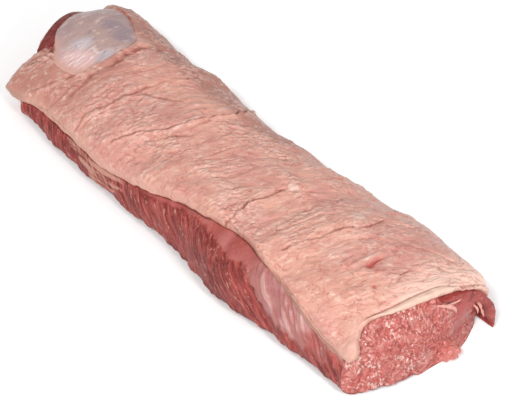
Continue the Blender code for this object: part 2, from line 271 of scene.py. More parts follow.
def angle_at(x, turn):
    """Angle at a turn: 0 to 1 goes over the crown between the cap's edges, 1 to 2 back by the two feet."""
    flank = cap_edge(x, FLANK_CAP_HEIGHT, FLANK_BELLY, FLANK_SQUARE)
    chine = 180 - cap_edge(x, CHINE_CAP_HEIGHT, CHINE_BELLY, CHINE_SQUARE)
    down = chine + (CHINE_FOOT - chine) * (turn - 1) / 0.25
    under = CHINE_FOOT + (FLANK_FOOT - CHINE_FOOT) * (turn - 1.25) / 0.5
    up = FLANK_FOOT + (360 + flank - FLANK_FOOT) * (turn - 1.75) / 0.25
    below = np.where(turn <= 1.25, down, np.where(turn <= 1.75, under, up))
    return np.where(turn <= 1, flank + (chine - flank) * turn, below)


def surface(x, turn, out):
    """The core's surface moved out along its normal, which is the cross product of its two directions."""
    turn = np.where(turn > 2, turn - 2, turn)
    angle = angle_at(x, turn)
    y, z = section(x, angle)
    y_after, z_after = section(x, angle + 0.5)
    y_before, z_before = section(x, angle - 0.5)
    y_near, z_near = section(x + 1, angle)
    y_far, z_far = section(x - 1, angle)
    across = np.stack([0 * y, y_after - y_before, z_after - z_before], -1)
    lengthways = np.stack([2 + 0 * y, y_near - y_far, z_near - z_far], -1)
    normal = np.cross(across, lengthways)
    normal = normal / np.linalg.norm(normal, axis=-1, keepdims=True)
    point = np.stack([x, y, z], -1) + normal * np.asarray(out)[..., None]
    point[..., 2] = np.maximum(point[..., 2], 0.0)
    return point


def lumps(x, turn):
    """Broad swellings of the meat: slow sine waves that cross each other, none on the flat underside."""
    angle = angle_at(x, np.where(turn > 2, turn - 2, turn))
    bearing = np.radians(angle)
    waves = 0
    for length, times, start, height in SWELLINGS:
        waves = waves + height * np.sin(x / length + times * bearing + start)
    under = ease((angle - CHINE_FOOT) / FOOT_FADE + 0.5) * ease((FLANK_FOOT - angle) / FOOT_FADE + 0.5)
    return waves * (1 - under)


def strap_depth(x, turn):
    """Thickness of the strap: thin at its far end and edges, full along its middle, none outside."""
    turn = np.where(turn < 1, turn + 2, turn)
    lower, upper = STRAP_TURNS
    grown = ease((x - STRAP_START) / (STRAP_FULL - STRAP_START))
    within = ease((turn - lower) / STRAP_SIDE) * ease((upper - turn) / STRAP_SIDE)
    depth = STRAP_EDGE_THICKNESS + (STRAP_THICKNESS - STRAP_EDGE_THICKNESS) * grown * within
    return np.where((x > STRAP_START) & (turn > lower) & (turn < upper), depth, 0.0)


# Random slopes and a shuffled order for the noise, the same on every run.
SLOPES = np.random.default_rng(SEED).normal(size=(256, 3))
SLOPES /= np.linalg.norm(SLOPES, axis=1, keepdims=True)
SHUFFLED = np.random.default_rng(SEED + 1).permutation(256)


def noise(*axes, seed=0):
    """Gradient noise, about -1 to 1: random slopes at a unit cube's corners, blended by smooth steps."""
    axes = np.broadcast_arrays(*axes, *([0.0] * (3 - len(axes))))
    p = np.stack(axes, -1) + seed * 7.31
    cell = np.floor(p).astype(int)
    inside = p - cell
    blend = inside**3 * (inside * (inside * 6 - 15) + 10)
    total = np.zeros(p.shape[:-1])
    for corner in np.ndindex(2, 2, 2):
        at = (cell + corner) & 255
        pick = SHUFFLED[(SHUFFLED[(SHUFFLED[at[..., 0]] + at[..., 1]) & 255] + at[..., 2]) & 255]
        rise = np.einsum("...i,...i", SLOPES[pick], inside - corner)
        total += rise * np.prod(np.where(corner, blend, 1 - blend), axis=-1)
    return 1.6 * total


def fractal(x, y, size, octaves, seed=0):
    """Noise of a size in millimetres, summed over octaves, each half the size and height of the last."""
    layers = (noise(x * 2.0**k / size, y * 2.0**k / size, seed=seed + k) / 2.0**k for k in range(octaves))
    return sum(layers)


def turned(x, y, degrees):
    """The two coordinates along and across a direction this many degrees from x."""
    c = np.cos(np.radians(degrees))
    s = np.sin(np.radians(degrees))
    return x * c + y * s, y * c - x * s


def grid_faces(rows, columns, start=0, wrap=False):
    """Quads of a grid of points, numbered by rows from start, closed round the columns if wrap is set."""
    index = start + np.arange(rows * columns).reshape(rows, columns)
    after = np.roll(index, -1, axis=1)
    if not wrap:
        index, after = index[:, :-1], after[:, :-1]
    return np.stack([index[:-1], after[:-1], after[1:], index[1:]], -1).reshape(-1, 4)


def border(grid):
    """The values round the edge of a grid in one loop: first row, last column, last row, first column."""
    return np.concatenate([grid[0, :-1], grid[:-1, -1], grid[-1, :0:-1], grid[:0:-1, 0]])


def mesh_object(name, points, faces, materials):
    """Object at the origin with a mesh of these points, in metres, and faces."""
    mesh = bpy.data.meshes.new(name)
    mesh.from_pydata(points, [], faces)
    for material in materials:
        mesh.materials.append(material)
    made = bpy.data.objects.new(name, mesh)
    bpy.context.scene.collection.objects.link(made)
    return made


def add_piece(name, points, faces, materials, nodes, masks):
    """Smooth mesh from points in millimetres round the section's axis, with its masks as attributes."""
    corners = [face for part in faces for face in part.tolist()]
    piece = mesh_object(name, ((points + FOOTPRINT_SHIFT) * MM).tolist(), corners, materials)
    for mask, values in masks.items():
        attribute = piece.data.attributes.new(mask, "FLOAT", "POINT")
        attribute.data.foreach_set("value", np.ravel(values).astype(np.float32))
    piece.data.shade_smooth()
    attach(piece, "root")
    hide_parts(*nodes)
    return piece


# The fat cap's grid, how many times coarser its inner sheet is, how far that sheet is sunk in the lean, the
# least thickness of the fat, how far its wall bulges out, and how far down the wall its loops lie.
CAP_ROWS = 500
CAP_COLUMNS = 160
COARSE = 4
CAP_SUNK = 0.6
CAP_LEAST = 1.5
CAP_BULGE = 1.4
WALL_LEVELS = (0.07, 0.16, 0.25, 0.36, 0.5, 0.65, 0.8, 0.92)


def slab(outer, inner, bulge, masks):
    """Closed body between a fine outer grid and an inner one. The wall between them is half an ellipse that
    bulges out from the border by the given length, and the inner sheet has every fourth point, fanned to
    the wall."""
    rows, columns = outer.shape[:2]
    count = rows * columns
    rim = border(outer)
    foot = border(inner)
    toward = np.empty_like(outer)
    toward[:] = outer
    toward[0], toward[-1] = outer[1], outer[-2]
    toward[1:-1, 0], toward[1:-1, -1] = outer[1:-1, 1], outer[1:-1, -2]
    away = rim - border(toward)
    away /= np.linalg.norm(away, axis=-1, keepdims=True)
    loops = []
    for level in WALL_LEVELS:
        across = (1 - np.cos(np.pi * level)) / 2
        out = border(bulge) * np.sin(np.pi * level)
        loops.append(rim + (foot - rim) * across + away * out[:, None])
    ring = len(rim)
    sheet = inner[::COARSE, ::COARSE]
    cells = sheet.shape[0] * sheet.shape[1]
    points = np.concatenate([outer.reshape(-1, 3), *loops, sheet.reshape(-1, 3)])
    first = border(np.arange(count).reshape(rows, columns))
    numbers = np.vstack([first, count + np.arange(len(loops) * ring).reshape(len(loops), ring)])
    after = np.roll(numbers, -1, axis=1)
    wall = np.stack([numbers[1:], after[1:], after[:-1], numbers[:-1]], -1).reshape(-1, 4)
    start = count + len(loops) * ring
    coarse = border(start + np.arange(cells).reshape(sheet.shape[:2]))
    next_coarse = np.roll(coarse, -1)
    fine = numbers[-1].reshape(-1, COARSE)
    fine = np.hstack([fine, np.roll(fine[:, :1], -1, axis=0)])
    fan = np.concatenate([
        np.stack([coarse, fine[:, 1], fine[:, 0]], -1),
        np.stack([coarse, fine[:, 2], fine[:, 1]], -1),
        np.stack([coarse, next_coarse, fine[:, 2]], -1),
        np.stack([next_coarse, fine[:, 3], fine[:, 2]], -1),
        np.stack([next_coarse, fine[:, 4], fine[:, 3]], -1),
    ])
    under = grid_faces(*sheet.shape[:2], start)[:, ::-1]
    spread = {}
    for name, values in masks.items():
        edge = np.tile(border(values), len(loops))
        spread[name] = np.concatenate([values.ravel(), edge, values[::COARSE, ::COARSE].ravel()])
    spread["wall"] = np.concatenate([np.zeros(count), np.repeat(WALL_LEVELS, ring), np.ones(cells)])
    return points, (grid_faces(rows, columns), wall, fan, under), spread


def ridged(x, y, size, octaves, seed=0):
    """Sharp crests where the noise crosses nought; each octave is half the size, on the last one's crests."""
    total, weight = 0.0, 1.0
    for k in range(octaves):
        crest = (1 - np.abs(noise(x * 2.0**k / size, y * 2.0**k / size, seed=seed + k))) ** 2 * weight
        weight = np.clip(1.6 * crest, 0.0, 1.0)
        total = total + crest / 2.0**k
    return total


def ellipse_bell(x, turn, place, reach):
    """Bell of height 1 over an ellipse on the cap, at a place (x, turn) with its half-lengths in mm."""
    return np.exp(-(((x - place[0]) / reach[0]) ** 2) - ((turn - place[1]) * CAP_ARC / reach[1]) ** 2)


def groove(run, side, places, depth, width, lift):
    """Sunk line at side = S(run): a bell section with a raised lip past it, wavering, faded at both ends."""
    runs, sides = np.transpose(sorted(places))
    at = np.clip(run, runs[0], runs[-1])
    seed = int(abs(sides[0])) % 50
    path = curve(runs, sides, at) + 2.4 * noise(run / 10, seed=seed) + 1.3 * noise(run / 3.4, seed=seed + 1)
    slope = (held(runs, sides, at + 1) - held(runs, sides, at - 1)) / 2
    away = (side - path) / np.sqrt(1 + slope**2)
    within = ease((run - runs[0]) / 8 + 0.5) * ease((runs[-1] - run) / 8 + 0.5)
    within = within * np.clip(0.7 + 0.75 * noise(run / 9, seed=seed + 2), 0.12, 1.3)
    sunk = bell(away, width) * within
    lip = bell(away - 2.2 * width, 1.5 * width) * within * (1 + 0.6 * noise(run / 3, seed=seed + 3))
    return lift * lip - depth * sunk, depth * sunk


def fat_edge(turn):
    """Where the fat stops at the far end."""
    return held(FAT_TURNS, FAT_EDGE, turn)


def fat_near(turn):
    """Where the fat stops at the near cut: its chine corner curls out over the meat."""
    return held(FAT_NEAR_TURNS, FAT_NEAR, turn)


def chine_edge(x):
    """Turn at which the fat ends on the chine side: it draws back up the loin before the double lip."""
    return held(CHINE_EDGE_X, CHINE_EDGE, x)


def meat_rise(x, turn):
    """How far the meat rises into the fat where the fat thins out at the near cut."""
    return held(THIN_TURNS, THIN, turn % 2) * ease((x - 248) / 16)


def bay(turn):
    """1 where the silver skin lies between the two sides of the fat, 0 on either side of that bay."""
    return ease((turn - 0.26) / 0.06) * ease((0.8 - turn) / 0.03)


def inside_skin(x, turn):
    """How far inside the silver skin's outline a place is, measured from the outline's middle."""
    near, across = x - SKIN_MIDDLE[0], (turn - SKIN_MIDDLE[1]) * CAP_ARC
    return curve(SKIN_BEARINGS, SKIN_REACH, np.degrees(np.arctan2(across, near))) - np.hypot(near, across)


def far_roll(x, turn):
    """How far the top drops towards the far end, less and less towards the chine."""
    return FAR_ROLL * ease((FAR_ROLL_START - x) / FAR_ROLL_LENGTH) * (1 - 0.95 * ease((turn - 0.3) / 0.22))


def dome_top(x, turn):
    """Height of the silver skin over the core: level with the fat beside it, swelling to its middle."""
    away = np.hypot(x - SKIN_MIDDLE[0], (turn - SKIN_MIDDLE[1]) * CAP_ARC) / DOME_RADIUS
    swell = DOME_SWELL * (1 - np.minimum(away, 1.0) ** 2)
    return DOME_SKIN_HEIGHT + swell - far_roll(x, turn) + 2 * lumps(x, turn)


def lean_height(x, turn):
    """How far the lean's top lies from the core: swellings, less the strap's bed, up to the skin in the
    bay, and up where the fat thins out."""
    inside = bay(turn) * ease((fat_edge(turn) - x) / 5 + 0.6) * (turn < 1)
    plain = lumps(x, turn) - strap_depth(x, turn) + meat_rise(x, turn)
    return plain * (1 - inside) + (dome_top(x, turn) - LEAN_UNDER_SKIN) * inside


# How far the meat's underside lifts off the floor at the two corners of the near cut.
FLANK_CORNER_RISE = 11.0
CHINE_CORNER_RISE = 5.5


def meat(x, turn, out):
    """A place on the lean, whose underside lifts unevenly off the floor at the near cut's two corners."""
    point = surface(x, turn, out)
    flank = ease((turn - 1.66) / 0.04) * ease((1.9 - turn) / 0.1) * ease((x - 246) / 14)
    chine = ease((turn - 1.25) / 0.04) * ease((-14 - point[..., 1]) / 10) * ease((x - 262) / 12)
    rise = FLANK_CORNER_RISE * flank + CHINE_CORNER_RISE * chine
    point[..., 2] = np.maximum(point[..., 2], rise * (0.8 + 0.5 * noise(turn * 28, x / 9, seed=51)))
    return point


# How deep the top dips along the flank edge of the fat.
FLANK_DIP = 4.5


def cap_relief(x, turn):
    """Relief of the fat: pads and valleys stretched across the loin, flakes, crumpling, folds and spots."""
    across = (1 - turn) * CAP_ARC
    warp_x, warp_y = (
        6 * noise(x / 38, across / 38, seed=seed) + 3 * noise(x / 13, across / 13, seed=seed + 1)
        for seed in (3, 53)
    )
    run, step = turned(x + warp_x, across + warp_y, 90 - WRINKLE_SLANT)
    pads = np.abs(noise(run / 26, step / 10, seed=5))
    small = np.abs(noise(run / 12, step / 5, seed=6))
    bent = 1.2 * noise(x / 4.5, across / 4.5, seed=15)
    crumple = ridged((run + bent) / 1.7, step + bent, 6.0, 3, seed=16)
    flakes = np.abs(noise((run + bent) / 6, (step + bent) / 3.4, seed=19))
    calm = ease((across - 2) / 16) * ease((CAP_ARC - across) / 30)
    lip = held(LIP_TURNS, LIP_EDGE, turn)
    zone = 0.2 + 0.8 * ease(0.45 + 1.3 * noise(x / 30, across / 21, seed=8))
    rough = zone * (0.4 + 0.6 * calm) * (0.4 + 0.6 * ease((lip - x) / 22))
    rough = rough * (1 - 0.4 * ease((x - 120) / 90) * ease((turn - 0.5) / 0.2))
    relief = rough * (0.8 * small + 0.65 * crumple + 0.7 * flakes) + 1.5 * pads * (0.5 + 0.5 * calm)
    relief = relief + 1.4 * noise(x / 27, across / 27, seed=9)
    # Creases: partly stained red, partly painted shade in the valleys of the pads, wrinkles and flakes.
    crease_stain_and_shade = rough * (0.6 * bell(pads, 0.05) + 0.5 * bell(small, 0.06) + 0.4 * bell(flakes, 0.06))
    crease_stain_and_shade = crease_stain_and_shade * ease(0.4 + 1.2 * noise(x / 18, across / 18, seed=17))
    arc = turn * CAP_ARC
    # Each fold's groove also adds painted shade along its line.
    for folds, along_it, beside_it, to_mm, darkness in (
        (CROSS_FOLDS, arc, x, (CAP_ARC, 1), 0.6),
        (EDGE_FOLDS, x, arc, (1, CAP_ARC), 0.7),
    ):
        for places, depth, width, lift in folds:
            places = np.multiply(places, to_mm).tolist()
            sunk, shade = groove(along_it, beside_it, places, depth, width, lift)
            relief, crease_stain_and_shade = relief + sunk, crease_stain_and_shade + darkness * shade
    red, pale = 0.0, 0.0
    for x_there, turn_there, along_x, along_turn, height, redness, paleness in SPOTS:
        spot = ellipse_bell(x, turn, (x_there, turn_there), (along_x, along_turn))
        relief, red, pale = relief + height * spot, red + redness * spot, pale + paleness * spot
    band = ease((0.79 - turn) / 0.06)
    over = ease((x - lip) / 2.5) * band
    line = bell(x - lip, 1.0) * band
    relief = relief + 1.1 * over - 1.4 * line
    dips = bell(x + 6, 34) + 0.8 * bell(x + 178, 14) - 0.9 * bell(x - 262, 18)
    relief = relief - FLANK_DIP * ease((0.3 - turn) / 0.22) * dips
    clean = 1 - ease((lip - x) / (38 + 30 * ease((0.5 - turn) / 0.2)))
    masks = {
        # The crease mask also takes a line of painted shade where the top turns over into the near cut.
        "crease_stain_and_shade": crease_stain_and_shade + 1.0 * line,
        # Paler crests of the crumpled fat: painted highlight.
        "ridge_highlight": rough * ease((crumple - 0.75) / 0.5),
        "rough": rough,
        "red": red,
        "pale": pale,
        "cut": over,
        # Lighter cream towards the near cut: partly the fat's cream, partly painted light.
        "front": clean * (1 - 0.8 * ease((turn - 0.45) / 0.25)),
        # Darker over the chine corner that curls out over the near cut: painted shade.
        "curl_shade": ease((turn - 0.64) / 0.08) * ease((x - 246) / 14),
    }
    return relief, masks


def make_fat_layer(material):
    """The fat cap: a grid with folds and wrinkles, a blunt rounded near cut and thin rounded sides."""
    turn = np.linspace(0, 1, CAP_COLUMNS + 1)
    part = np.linspace(0, 1, CAP_ROWS + 1)[:, None]
    edge = fat_edge(turn)
    x = edge + (fat_near(turn) - edge) * part
    turns = turn - (1 - chine_edge(x)) * turn**8
    ragged = 1.6 * noise(turn * CAP_ARC / 9, seed=11) + 0.9 * noise(turn * CAP_ARC / 3.5, seed=12)
    x = x + ragged * ((1 - part) ** 12 + 0.4 * part**12)
    wander = (1.3 * noise(x / 24, seed=13) + 0.7 * noise(x / 7, seed=14)) / CAP_ARC
    turns = turns + wander * turns**12
    side = 1 - (1 - np.clip(np.minimum(turn, 1 - turn) * CAP_ARC / CAP_EDGE_WIDTH, 0, 1)) ** CAP_ROUNDING
    far = 1 - (1 - np.clip((x - x[0]) / CAP_EDGE_WIDTH, 0, 1)) ** CAP_ROUNDING
    far = far + (1 - far) * 0.4
    full = np.minimum(side, far)
    thickness = CAP_EDGE_THICKNESS + (CAP_THICKNESS - CAP_EDGE_THICKNESS) * full
    to_cut = x[-1] - x
    thin = 3.2 * bell(turns - 0.66, 0.1) + 2.4 * ease((0.4 - turns) / 0.2)
    thickness = thickness - (1.0 * bell(to_cut, 3.0) + thin * bell(to_cut, 10.0)) * full
    relief, masks = cap_relief(x, turns)
    swell = lumps(x, turns)
    top = 2 * swell + thickness + relief * (0.3 + 0.7 * full)
    inside = inside_skin(x, turns)
    under_skin = ease(inside / 2.4 + 0.5)
    top = top + (dome_top(x, turns) - FAT_UNDER_SKIN - top) * under_skin
    outer = surface(x, turns, top)
    inner = surface(x, turns, np.minimum(swell - CAP_SUNK + meat_rise(x, turns), top - CAP_LEAST))
    # A jagged line of painted shade where the fat's edge meets the silver skin.
    seam = bell(inside + 1.2 * noise(x / 4, turns * 48, seed=18), 0.9) * ease((0.7 - turns) / 0.1)
    masks["crease_stain_and_shade"] = masks["crease_stain_and_shade"] + 1.6 * seam * ease(0.6 + noise(turns * 22, x / 9, seed=20))
    near = np.zeros_like(x)
    near[-1] = 1.0
    bulge = CAP_BULGE + near * (1.0 - 0.6 * ease((turns - 0.75) / 0.08))
    masks["edge"] = bell((1 - turn) * CAP_ARC, 9.0) + 0 * x
    masks["aged"] = ease((-236 - x) / 8) + ease((-215 - x) / 20) * ease((turn - 0.96) / 0.02)
    # Darker tan over the flank slope and at some corners of the cap: partly the fat's tan, partly painted
    # shade.
    masks["flank"] = (
        ease((0.42 - turns) / 0.3) * ease((120 - x) / 200)
        + 0.35 * ease((turns - 0.76) / 0.08) * ease((-195 - x) / 30)
        + 0.75 * ease((0.44 - turns) / 0.1) * ease((60 - x) / 60)
        + 0.55 * ease((turns - 0.45) / 0.2) * ease((-110 - x) / 60)
        + 0.25 * ease((turns - 0.55) / 0.15) * ease((x - 130) / 60)
    )
    # Darker brown on the fat hanging at the far chine corner: painted shade.
    masks["fold"] = 0.6 * ease((turn - 0.96) / 0.015) * ease((-208 - x) / 15)
    points, faces, masks = slab(outer, inner, bulge, masks)
    return add_piece("fat_layer", points, faces, [material], ["fat_cap"], masks)


# The roll that hangs under the fat's edge before the near cut: its lower line as (x, turn), its height,
# how far it is sunk in the lean, and how far its wall bulges out.
EDGE_ROLL = ((148, 0.958), (160, 0.986), (175, 1.002), (190, 1.011), (225, 1.016), (250, 1.019),
             (257, 1.013))
EDGE_ROLL_HEIGHT = 1.7
ROLL_SUNK = 1.0
ROLL_BULGE = 0.2


def make_fat_fold(name, lower_edge, height, material):
    """A fold of fat below the cap's edge: a swelling between the edge and a lower line turn = L(x)."""
    xs, lowest = np.transpose(lower_edge)
    part = np.linspace(0, 1, 121)[:, None]
    v = np.linspace(0, 1, 25)
    x = xs[0] + (xs[-1] - xs[0]) * part + 0 * v
    lower = curve(xs, lowest, x) + 0.008 * noise(x / 9, seed=61) + 0.004 * noise(x / 3, seed=62)
    upper = chine_edge(x) - 0.015
    turns = upper + (lower - upper) * v
    swell = np.sin(np.pi * np.clip(v, 0, 1)) ** 0.5 * ease(part / 0.12) * ease((1 - part) / 0.12)
    wrinkle = 0.5 * noise(x / 12, v * 3, seed=63) + 0.35 * np.abs(noise(x / 5, v * 4, seed=64))
    outer = surface(x, turns, lumps(x, turns) + 0.3 + (height + wrinkle) * swell)
    inner = surface(x, turns, lumps(x, turns) - ROLL_SUNK)
    # The whole roll is darkened as painted shade, and more along its top and bottom, where it tucks under the
    # fat and meets the lean.
    masks = {"fold": 1 + 0 * x, "crease_stain_and_shade": 1.2 * bell(v - 0.1, 0.07) + 0.8 * bell(v - 0.97, 0.08) + 0 * x}
    points, faces, masks = slab(outer, inner, ROLL_BULGE + 0 * x, masks)
    return add_piece(name, points, faces, [material], ["fat_cap"], masks)


# Rows along the lean, its columns from each of these turns to the next, few under the cap and below and many
# on the two sides, and how far its ends stop short of the two cuts.
LEAN_ROWS = 354
LEAN_COLUMNS = ((0, 50), (0.86, 34), (1, 90), (1.25, 40), (1.75, 50), (2, 0))
CUT_OVERLAP = 6.0

# Lower edge of the chine side's grey skin, and of the tan tissue further back, as turns along X.
SIDE_SKIN_X = (60, 100, 123, 140, 155, 173, 199, 217, 235, 262)
SIDE_SKIN_TURN = (1.0, 1.015, 1.033, 1.065, 1.11, 1.135, 1.13, 1.11, 1.105, 1.07)
HUNG_X = (-150, -124, -103, -86, -70, -56, -30)
HUNG_TURN = (1.01, 1.05, 1.11, 1.14, 1.14, 1.1, 1.04)


def lean_turns():
    """Turns of the columns round the lean."""
    return np.concatenate([
        np.linspace(start, end, count, endpoint=False)
        for (start, count), (end, _) in zip(LEAN_COLUMNS, LEAN_COLUMNS[1:])
    ])


def side_masks(x, turn):
    """Masks of the chine side: the grey skin that covers it near the cut, the smooth pink strip under the
    fat, and the tan tissue that hangs from the fat's edge further back."""
    lowest = held(SIDE_SKIN_X, SIDE_SKIN_TURN, x)
    ragged = 0.014 * noise(x / 9, turn * 20, seed=26) + 0.009 * noise(x / 3, turn * 60, seed=27)
    skin = ease((lowest - turn + ragged) / 0.025 + 0.5) * ease((x - 112) / 50) * ease((250 - x) / 14)
    skin = skin * (turn > 0.8) * (1 - 0.65 * ease((x - 198) / 26))
    strip = ease((1.05 - turn + ragged) / 0.03) * ease((x + 60) / 60) * (turn > 0.8)
    hung = held(HUNG_X, HUNG_TURN, x)
    below = (turn - 1) * 4 * SIDE_ARC
    run, step = turned(x, -below, -FIBRE_SLOPE)
    hung = ease((hung - turn + 1.6 * ragged) / 0.03 + 0.3)
    hung = hung * ease((x - HUNG_X[0]) / 20) * ease((-60 + below - x) / 16 + 0.4)
    streaks = 0.8 * noise(x / 34, below / 5, seed=40) + 0.35 * noise(run / 20, step / 3, seed=58)
    hung = hung * ease(0.7 + streaks)
    return skin, np.clip(strip - skin, 0, 1), hung * (turn >= 1)


def side_relief(x, turn, z):
    """Relief of the lean's sides: bundles with sharp valleys, and fine fibres, sloping to the near cut."""
    edge = chine_edge(x)
    below = (turn - edge) * 4 * SIDE_ARC
    skin, strip, hung = side_masks(x, turn)
    warp = 1.6 * noise(x / 60, z / 40, seed=21) + 0.35 * noise(x / 13, z / 13, seed=28)
    run, step = turned(x, z + warp, -FIBRE_SLOPE)
    bundles = noise(run / 70, step / 12, seed=22)
    strands = np.abs(noise(run / 40, step / 3.4, seed=23))
    threads = np.abs(noise(run / 22, step / 2.2, seed=39))
    fibres = fractal(run / 8, step, 2.4, 2, seed=24)
    shown = ease((turn - edge) / 0.01) * ease((1.27 - turn) / 0.05) + ease((turn - 1.75) / 0.04)
    fibrous = 1 - 0.85 * skin - 0.75 * strip - 0.85 * hung
    relief = 0.9 * bundles + fibrous * (1.1 * strands + 0.8 * threads + 0.3 * fibres)
    relief = relief + 1.2 * noise(x / 20, z / 20, seed=25)
    lines = np.abs(noise(run / 46, step / 6, seed=29) + 0.15 * noise(x / 12, z / 12, seed=38))
    relief = relief - 1.2 + skin * (1.1 + 1.2 * ease((lines - 0.08) / 0.3)) + 1.6 * hung
    foot = bell(turn - 1.2, 0.05) * (2.4 * noise(x / 12, seed=30) + 1.0 * noise(x / 4.5, seed=34))
    broken = 0.55 + 0.45 * noise(run / 16, step / 7, seed=35)
    # Under the fat's edge the side is sunk, and painted shadow darkens it there through the groove mask.
    under_edge = bell(below, 2.0) * (turn >= edge) * (turn < 1.3)
    masks = {
        # Groove: painted shade in the valleys between strands, under the fat's edge and between the skin's
        # folds.
        "groove": shown * fibrous * (bell(strands, 0.12) + 0.6 * bell(threads, 0.1)) * broken
        + 1.2 * under_edge + 0.4 * skin * bell(lines, 0.06) * (1 + 0.8 * noise(x / 14, z / 14, seed=57)),
        # Lighter raised strands: painted highlight.
        "ridge_highlight": shown * fibrous * ease((strands - 0.3) / 0.4) * (1 - broken),
        "skin": skin,
        "strip": strip,
        "deep": ease((-222 - x) / 14) * (turn < 0.95),
        "hung": hung,
        # Painted sheen on the smooth strip.
        "sheen": strip * ease(0.25 + 1.3 * noise(run / 40, step / 14, seed=56)),
        # Darker towards the underside: painted shade.
        "low": ease((turn - 1.13) / 0.12) * ease((1.5 - turn) / 0.1),
        "veil": skin * ease((x - 145) / 30) * ease(0.4 + 1.4 * noise(x / 19, z / 12, seed=48)),
        "dusk": skin * ease(0.2 + 1.4 * noise(x / 15, z / 9, seed=49)),
        # Pale lines on the skin's fold crests: partly whitish tissue, partly painted highlight.
        "line": skin * bell(lines - 0.4, 0.16) * ease(0.6 + noise(x / 17, z / 17, seed=47)),
    }
    return shown * relief + foot - 1.4 * under_edge, masks


def closed_end(rim, centre, power, sizes):
    """Rings that shrink from a rim to a centre; x nears the centre's by a power of the ring's size."""
    size = np.asarray(sizes)[:, None, None]
    rings = centre + (rim - centre) * size
    rings[..., 0] = centre[0] + (rim[:, 0] - centre[0]) * size[..., 0] ** power
    rings[..., 2] = np.maximum(rings[..., 2], 0.0)
    return rings


def ring_body(grid, far_point, near_point):
    """Points and faces of a closed body from rings along it and a point at each end."""
    rows, columns = grid.shape[:2]
    count = rows * columns
    ring = np.arange(columns)
    last = ring + count - columns
    far_fan = np.stack([np.full(columns, count), np.roll(ring, -1), ring], -1)
    near_fan = np.stack([np.full(columns, count + 1), last, np.roll(last, -1)], -1)
    points = np.concatenate([grid.reshape(-1, 3), [far_point, near_point]])
    return points, (grid_faces(rows, columns, 0, True), far_fan, near_fan)


def make_lean_muscle(material):
    """The eye of the loin between its two cuts."""
    turn = lean_turns()
    part = np.linspace(0, 1, LEAN_ROWS + 1)[:, None]
    far, near = around(FAR_RIM, turn) + CUT_OVERLAP, around(NEAR_RIM, turn) - CUT_OVERLAP
    x = far + (near - far) * part
    turns = turn + 0 * x
    z = surface(x, turns, 0 * x)[..., 2]
    relief, masks = side_relief(x, turns, z)
    body = meat(x, turns, lean_height(x, turns) + relief)
    far_middle = np.array(FAR_CENTRE) + (2 * CUT_OVERLAP, 0, 0)
    near_middle = np.array(NEAR_CENTRE) - (2 * CUT_OVERLAP, 0, 0)
    far_rings = closed_end(body[0], far_middle, 1.0, (0.4, 0.8))
    near_rings = closed_end(body[-1], near_middle, 1.0, (0.8, 0.4))
    grid = np.concatenate([far_rings, body, near_rings])
    points, faces = ring_body(grid, far_middle, near_middle)
    spread = {name: np.append(np.pad(mask, ((2, 2), (0, 0))), [0, 0]) for name, mask in masks.items()}
    return add_piece("lean_muscle", points, faces, [material], ["eye_of_loin"], spread)


# An end slice: columns round it, how deep its skirt reaches back over the lean, the skirt's rows, how far the
# skirt stands proud of the lean at the rim and dives from there, and how far the rim of the face drops.
CUT_COLUMNS = 420
CUT_DEPTH = 12.0
CUT_SKIRT_ROWS = 9
SKIRT_PROUD = 0.5
SKIRT_DIVE = 1.1
RIM_DROP = 0.4


